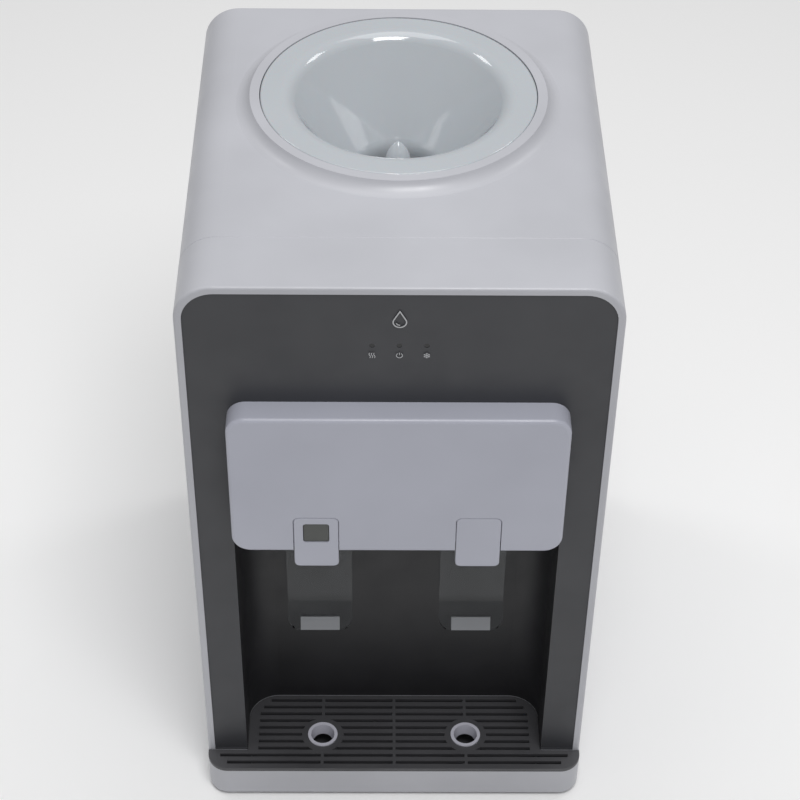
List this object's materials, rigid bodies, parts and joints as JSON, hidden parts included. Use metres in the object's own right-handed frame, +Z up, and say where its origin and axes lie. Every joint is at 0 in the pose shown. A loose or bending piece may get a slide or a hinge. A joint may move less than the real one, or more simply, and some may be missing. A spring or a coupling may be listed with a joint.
{
  "type": "countertop water dispenser",
  "caption": "Tabletop hot and cold water dispenser: bottle seat on top, two push taps under a cover, drip tray, tanks and cooling circuit inside.",
  "frame": {"origin": "middle of the footprint, on the table the feet stand on", "axes": "+Z up, -Y towards the person who fills a cup, +X to their right"},
  "size_m": [0.31, 0.3754, 0.5405],
  "materials": {
    "light_shell": "fine satin moulded ABS",
    "painted_sheet": "satin powder coat",
    "dark_panel": "dark grey satin moulding",
    "dark_tray": "black-grey moulding",
    "white_ring": "white moulding",
    "glossy_seat": "high-gloss white",
    "lever_plastic": "satin moulding",
    "clear_paddle": "clear polycarbonate",
    "paddle_pad": "light grey satin",
    "lock_button": "dark grey satin",
    "galvanised_sheet": "galvanised, spangled",
    "stainless": "brushed",
    "bright_steel": "zinc plated",
    "white_foam": "expanded polystyrene",
    "rubber": "black rubber",
    "copper": "drawn copper",
    "black_steel": "black enamel",
    "white_nylon": "natural nylon",
    "silicone_hose": "milky silicone",
    "black_plastic": "black moulding",
    "red_rocker": "red gloss",
    "green_rocker": "green gloss",
    "clear_lens": "clear lens",
    "circuit_board": "solder mask"
  },
  "bodies": {
    "housing": {"baffle_plate": "white_nylon", "band_heater": "stainless", "base_pan": "light_shell", "cold_tank": "stainless", "cold_tank_insulation": "white_foam", "cold_tap_body": "white_nylon", "cold_tap_bonnet": "white_nylon", "cold_valve_spring": "bright_steel", "compressor": "black_steel", "compressor_grommets": "rubber", "condenser": "black_steel", "control_box": "black_plastic", "drain_hoses": "silicone_hose", "drain_spigots": "white_nylon", "evaporator_coil": "copper", "filter_drier": "copper", "front_bezel": "light_shell", "front_panel": "dark_panel", "hot_tank": "stainless", "hot_tank_bracket": "galvanised_sheet", "hot_tap_body": "white_nylon", "hot_tap_bonnet": "white_nylon", "hot_valve_spring": "bright_steel", "indicator_board": "circuit_board", "indicator_lenses": "clear_lens", "left_side_panel": "painted_sheet", "lever_pins": "bright_steel", "mains_inlet": "black_plastic", "rear_panel": "galvanised_sheet", "rear_panel_screws": "bright_steel", "refrigerant_lines": "copper", "right_side_panel": "painted_sheet", "rubber_feet": "rubber", "switch_housings": "black_plastic", "tank_shelf": "galvanised_sheet", "tap_cover": "light_shell", "tap_nuts": "white_nylon", "thermostats": "black_plastic", "top_cover": "light_shell", "water_hoses": "silicone_hose"},
    "bottle_seat": {"bottle_seat": "glossy_seat", "water_probe": "glossy_seat", "seat_seal": "rubber"},
    "drip_basin": {"drip_basin": "dark_tray"},
    "drip_grille": {"drip_grille": "dark_tray", "drain_rings": "white_ring"},
    "hot_lever": {"hot_tap_lever": "lever_plastic", "hot_paddle": "clear_paddle", "hot_paddle_pad": "paddle_pad"},
    "cold_lever": {"cold_tap_lever": "lever_plastic", "cold_paddle": "clear_paddle", "cold_paddle_pad": "paddle_pad"},
    "child_lock": {"child_lock_button": "lock_button"},
    "hot_valve": {"hot_valve_stem": "white_nylon"},
    "cold_valve": {"cold_valve_stem": "white_nylon"},
    "hot_switch": {"hot_switch_rocker": "red_rocker"},
    "cold_switch": {"cold_switch_rocker": "green_rocker"},
    "hot_cap": {"hot_drain_cap": "white_nylon"},
    "cold_cap": {"cold_drain_cap": "white_nylon"}
  },
  "joints": [
    {"name": "hot_lever_pivot", "type": "hinge", "parent": "housing", "child": "hot_lever", "pos_m": [-0.06, -0.16795, 0.3455], "axis": [1, 0, 0], "range_deg": [0, 8], "stiffness_Nm_per_rad": 0.5, "springref_deg": -17.19},
    {"name": "cold_lever_pivot", "type": "hinge", "parent": "housing", "child": "cold_lever", "pos_m": [0.06, -0.16795, 0.3455], "axis": [1, 0, 0], "range_deg": [0, 8], "stiffness_Nm_per_rad": 0.5, "springref_deg": -17.19},
    {"name": "hot_valve_lift", "type": "slide", "parent": "housing", "child": "hot_valve", "axis": [0, 0, 1], "range_m": [0, 0.00224], "deforming": ["hot_valve_spring"]},
    {"name": "cold_valve_lift", "type": "slide", "parent": "housing", "child": "cold_valve", "axis": [0, 0, 1], "range_m": [0, 0.00224], "deforming": ["cold_valve_spring"]},
    {"name": "child_lock_press", "type": "slide", "parent": "hot_lever", "child": "child_lock", "axis": [0, 1, 0], "range_m": [0, 0.0025], "stiffness_N_per_m": 300, "springref_m": -0.003},
    {"name": "drip_basin_lift", "type": "slide", "parent": "housing", "child": "drip_basin", "axis": [0, 0, 1], "range_m": [0, 0.06]},
    {"name": "drip_grille_lift", "type": "slide", "parent": "drip_basin", "child": "drip_grille", "axis": [0, 0, 1], "range_m": [0, 0.06]},
    {"name": "bottle_seat_lift", "type": "slide", "parent": "housing", "child": "bottle_seat", "axis": [0, 0, 1], "range_m": [0, 0.15]},
    {"name": "hot_switch_toggle", "type": "hinge", "parent": "housing", "child": "hot_switch", "pos_m": [-0.112, 0.16175, 0.4525], "axis": [1, 0, 0], "range_deg": [-20, 0]},
    {"name": "cold_switch_toggle", "type": "hinge", "parent": "housing", "child": "cold_switch", "pos_m": [-0.084, 0.16175, 0.4525], "axis": [1, 0, 0], "range_deg": [-20, 0]},
    {"name": "hot_cap_unscrew", "type": "slide", "parent": "housing", "child": "hot_cap", "axis": [0, 1, 0], "range_m": [0, 0.03]},
    {"name": "cold_cap_unscrew", "type": "slide", "parent": "housing", "child": "cold_cap", "axis": [0, 1, 0], "range_m": [0, 0.03]}
  ],
  "couplings": [
    {"joint": "hot_valve_lift", "follows": "hot_lever_pivot", "m_per_rad": 0.016},
    {"joint": "cold_valve_lift", "follows": "cold_lever_pivot", "m_per_rad": 0.016}
  ]
}
